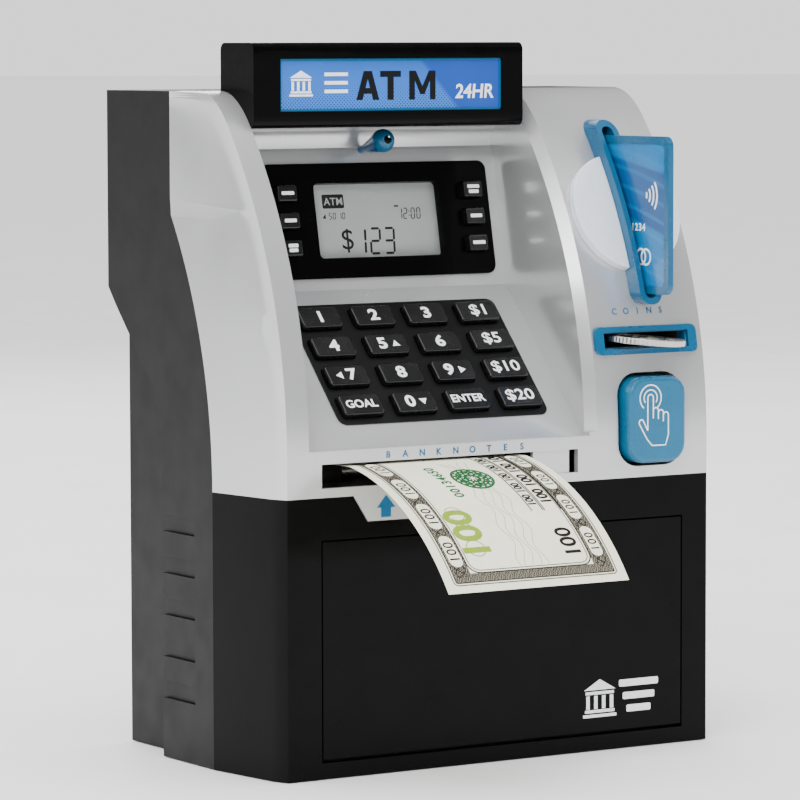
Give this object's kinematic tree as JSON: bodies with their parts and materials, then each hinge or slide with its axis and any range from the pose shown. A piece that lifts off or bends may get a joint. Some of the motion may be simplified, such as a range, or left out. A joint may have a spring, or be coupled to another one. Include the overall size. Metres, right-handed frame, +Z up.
{
  "type": "toy atm savings bank",
  "caption": "Toy cash machine money box with screen, keypad, note, coin and card slots and a drop-down cash door.",
  "frame": {"origin": "centre of the flat underside of the shells", "axes": "+X to the right seen from the front, -Y out of the front face, +Z up"},
  "size_m": [0.1732, 0.1591, 0.229],
  "materials": {
    "gloss_black": "gloss",
    "silver": "metallic paint, satin",
    "charcoal": "fine grained",
    "sign_blue": "printed panel",
    "teal": "gloss",
    "clear": "clear",
    "lcd": "grey display",
    "satin_black": "satin",
    "grey_rubber": "matt",
    "inner_grey": "matt",
    "steel": "plain",
    "black_rubber": "matt",
    "white_nylon": "matt",
    "frosted": "translucent white",
    "card_blue": "printed card",
    "coin_metal": "worn nickel",
    "note_paper": "printed paper",
    "circuit_green": "circuit board",
    "battery_wrap": "plain wrap",
    "key_black": "satin"
  },
  "bodies": {
    "machine": {"base_shell": "gloss_black", "fascia": "silver", "middle_shell": "charcoal", "rear_cover": "charcoal", "sign_housing": "gloss_black", "sign_lens": "sign_blue", "camera_dome": "teal", "screen_bezel": "gloss_black", "lcd_window": "clear", "lcd_module": "lcd", "keypad_plate": "satin_black", "key_mat": "grey_rubber", "note_guide": "inner_grey", "feed_motor": "steel", "card_slot_frame": "teal", "card_disc": "frosted", "card_reader": "inner_grey", "coin_slot_frame": "teal", "coin_chute": "inner_grey", "touch_cup": "inner_grey", "hinge_pin": "steel", "door_magnet": "steel", "cash_tray": "inner_grey", "main_board": "circuit_green", "speaker": "inner_grey", "batteries": "battery_wrap", "screws": "steel"},
    "feed_roller": {"feed_shaft": "steel", "feed_tyres": "black_rubber", "feed_gear": "white_nylon"},
    "pinch": {"pinch_roller": "black_rubber"},
    "pinion": {"motor_pinion": "white_nylon"},
    "card": {"bank_card": "card_blue"},
    "play_coin": {"coin": "coin_metal"},
    "note": {"banknote": "note_paper"},
    "door": {"cash_door": "gloss_black"},
    "touch": {"touch_button": "teal"},
    "battery_cover": {"battery_door": "charcoal"},
    "key_1": {"key_1": "key_black"},
    "key_2": {"key_2": "key_black"},
    "key_3": {"key_3": "key_black"},
    "key_1_dollar": {"key_1_dollar": "key_black"},
    "key_4": {"key_4": "key_black"},
    "key_5": {"key_5": "key_black"},
    "key_6": {"key_6": "key_black"},
    "key_5_dollar": {"key_5_dollar": "key_black"},
    "key_7": {"key_7": "key_black"},
    "key_8": {"key_8": "key_black"},
    "key_9": {"key_9": "key_black"},
    "key_10_dollar": {"key_10_dollar": "key_black"},
    "key_goal": {"key_goal": "key_black"},
    "key_0": {"key_0": "key_black"},
    "key_enter": {"key_enter": "key_black"},
    "key_20_dollar": {"key_20_dollar": "key_black"},
    "screen_button_l1": {"screen_button_l1": "key_black"},
    "screen_button_l2": {"screen_button_l2": "key_black"},
    "screen_button_l3": {"screen_button_l3": "key_black"},
    "screen_button_r1": {"screen_button_r1": "key_black"},
    "screen_button_r2": {"screen_button_r2": "key_black"},
    "screen_button_r3": {"screen_button_r3": "key_black"}
  },
  "joints": [
    {"name": "door_hinge", "type": "hinge", "parent": "machine", "child": "door", "pos_m": [0, -0.0494, 0.0077], "axis": [1, 0, 0], "range_deg": [0, 90]},
    {"name": "note_slide", "type": "slide", "parent": "machine", "child": "note", "axis": [0, -1, 0], "range_m": [0, 0.09]},
    {"name": "coin_slide", "type": "slide", "parent": "machine", "child": "play_coin", "axis": [0, -1, 0], "range_m": [0, 0.02]},
    {"name": "card_slide", "type": "slide", "parent": "machine", "child": "card", "axis": [0, -1, 0], "range_m": [0, 0.07]},
    {"name": "touch_press", "type": "slide", "parent": "machine", "child": "touch", "axis": [0, 1, 0], "range_m": [0, 0.0015], "stiffness_N_per_m": 400},
    {"name": "feed_spin", "type": "hinge", "parent": "machine", "child": "feed_roller", "pos_m": [0, -0.015, 0.092], "axis": [1, 0, 0], "continuous": true},
    {"name": "pinch_spin", "type": "hinge", "parent": "machine", "child": "pinch", "pos_m": [0, -0.015, 0.102], "axis": [1, 0, 0], "continuous": true},
    {"name": "pinion_spin", "type": "hinge", "parent": "machine", "child": "pinion", "pos_m": [0, 0.00126, 0.08001], "axis": [1, 0, 0], "continuous": true},
    {"name": "battery_cover_slide", "type": "slide", "parent": "machine", "child": "battery_cover", "axis": [0, 1, 0], "range_m": [0, 0.03]},
    {"name": "key_1_press", "type": "slide", "parent": "machine", "child": "key_1", "axis": [0, 0.7254, -0.6884], "range_m": [0, 0.001], "stiffness_N_per_m": 300},
    {"name": "key_2_press", "type": "slide", "parent": "machine", "child": "key_2", "axis": [0, 0.7254, -0.6884], "range_m": [0, 0.001], "stiffness_N_per_m": 300},
    {"name": "key_3_press", "type": "slide", "parent": "machine", "child": "key_3", "axis": [0, 0.7254, -0.6884], "range_m": [0, 0.001], "stiffness_N_per_m": 300},
    {"name": "key_1_dollar_press", "type": "slide", "parent": "machine", "child": "key_1_dollar", "axis": [0, 0.7254, -0.6884], "range_m": [0, 0.001], "stiffness_N_per_m": 300},
    {"name": "key_4_press", "type": "slide", "parent": "machine", "child": "key_4", "axis": [0, 0.7254, -0.6884], "range_m": [0, 0.001], "stiffness_N_per_m": 300},
    {"name": "key_5_press", "type": "slide", "parent": "machine", "child": "key_5", "axis": [0, 0.7254, -0.6884], "range_m": [0, 0.001], "stiffness_N_per_m": 300},
    {"name": "key_6_press", "type": "slide", "parent": "machine", "child": "key_6", "axis": [0, 0.7254, -0.6884], "range_m": [0, 0.001], "stiffness_N_per_m": 300},
    {"name": "key_5_dollar_press", "type": "slide", "parent": "machine", "child": "key_5_dollar", "axis": [0, 0.7254, -0.6884], "range_m": [0, 0.001], "stiffness_N_per_m": 300},
    {"name": "key_7_press", "type": "slide", "parent": "machine", "child": "key_7", "axis": [0, 0.7254, -0.6884], "range_m": [0, 0.001], "stiffness_N_per_m": 300},
    {"name": "key_8_press", "type": "slide", "parent": "machine", "child": "key_8", "axis": [0, 0.7254, -0.6884], "range_m": [0, 0.001], "stiffness_N_per_m": 300},
    {"name": "key_9_press", "type": "slide", "parent": "machine", "child": "key_9", "axis": [0, 0.7254, -0.6884], "range_m": [0, 0.001], "stiffness_N_per_m": 300},
    {"name": "key_10_dollar_press", "type": "slide", "parent": "machine", "child": "key_10_dollar", "axis": [0, 0.7254, -0.6884], "range_m": [0, 0.001], "stiffness_N_per_m": 300},
    {"name": "key_goal_press", "type": "slide", "parent": "machine", "child": "key_goal", "axis": [0, 0.7254, -0.6884], "range_m": [0, 0.001], "stiffness_N_per_m": 300},
    {"name": "key_0_press", "type": "slide", "parent": "machine", "child": "key_0", "axis": [0, 0.7254, -0.6884], "range_m": [0, 0.001], "stiffness_N_per_m": 300},
    {"name": "key_enter_press", "type": "slide", "parent": "machine", "child": "key_enter", "axis": [0, 0.7254, -0.6884], "range_m": [0, 0.001], "stiffness_N_per_m": 300},
    {"name": "key_20_dollar_press", "type": "slide", "parent": "machine", "child": "key_20_dollar", "axis": [0, 0.7254, -0.6884], "range_m": [0, 0.001], "stiffness_N_per_m": 300},
    {"name": "screen_button_l1_press", "type": "slide", "parent": "machine", "child": "screen_button_l1", "axis": [0, 0.9806, -0.1959], "range_m": [0, 0.001], "stiffness_N_per_m": 300},
    {"name": "screen_button_l2_press", "type": "slide", "parent": "machine", "child": "screen_button_l2", "axis": [0, 0.9806, -0.1959], "range_m": [0, 0.001], "stiffness_N_per_m": 300},
    {"name": "screen_button_l3_press", "type": "slide", "parent": "machine", "child": "screen_button_l3", "axis": [0, 0.9806, -0.1959], "range_m": [0, 0.001], "stiffness_N_per_m": 300},
    {"name": "screen_button_r1_press", "type": "slide", "parent": "machine", "child": "screen_button_r1", "axis": [0, 0.9806, -0.1959], "range_m": [0, 0.001], "stiffness_N_per_m": 300},
    {"name": "screen_button_r2_press", "type": "slide", "parent": "machine", "child": "screen_button_r2", "axis": [0, 0.9806, -0.1959], "range_m": [0, 0.001], "stiffness_N_per_m": 300},
    {"name": "screen_button_r3_press", "type": "slide", "parent": "machine", "child": "screen_button_r3", "axis": [0, 0.9806, -0.1959], "range_m": [0, 0.001], "stiffness_N_per_m": 300}
  ],
  "couplings": [
    {"joint": "pinion_spin", "follows": "feed_spin", "ratio": -3},
    {"joint": "pinch_spin", "follows": "feed_spin", "ratio": -1.25}
  ]
}
